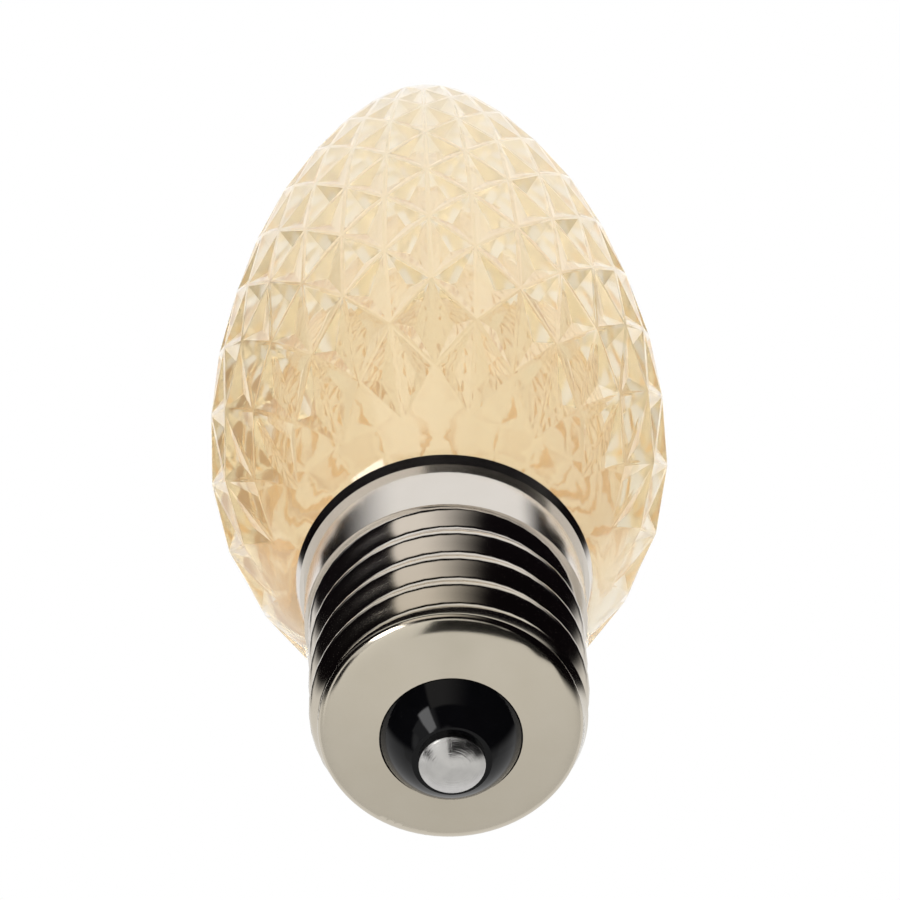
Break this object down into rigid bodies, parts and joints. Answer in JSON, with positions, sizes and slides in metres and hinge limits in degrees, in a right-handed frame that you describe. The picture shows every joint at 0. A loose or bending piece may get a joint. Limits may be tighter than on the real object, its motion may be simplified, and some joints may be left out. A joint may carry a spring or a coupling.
{
  "type": "faceted christmas light bulb",
  "caption": "Clear faceted replacement bulb for an outdoor Christmas light string, on a small screw base.",
  "frame": {"origin": "lowest point of the centre contact, on the bulb's axis", "axes": "+Z along the axis from the base to the tip of the lens; the driver board inside lies in the XZ plane"},
  "size_m": [0.0286, 0.0286, 0.078],
  "materials": {
    "clear_lens": "gloss",
    "nickel_shell": "polished",
    "black_insulator": "gloss",
    "contact_metal": "satin",
    "circuit_board": "satin",
    "diode_resin": "gloss",
    "dark_component": "matte",
    "capacitor_case": "satin",
    "tinned_copper": "satin"
  },
  "bodies": {
    "root": {"lens": "clear_lens", "screw_shell": "nickel_shell", "insulator": "black_insulator", "centre_contact": "contact_metal", "led_board": "circuit_board", "led_1": "diode_resin", "led_2": "diode_resin", "led_3": "diode_resin", "led_4": "diode_resin", "led_5": "diode_resin", "driver_board": "circuit_board", "capacitor": "capacitor_case", "bridge_rectifier": "dark_component", "resistor_1": "dark_component", "resistor_2": "dark_component", "link_pins": "tinned_copper", "centre_lead": "tinned_copper", "side_lead": "tinned_copper", "shell_solder": "tinned_copper"}
  },
  "joints": []
}
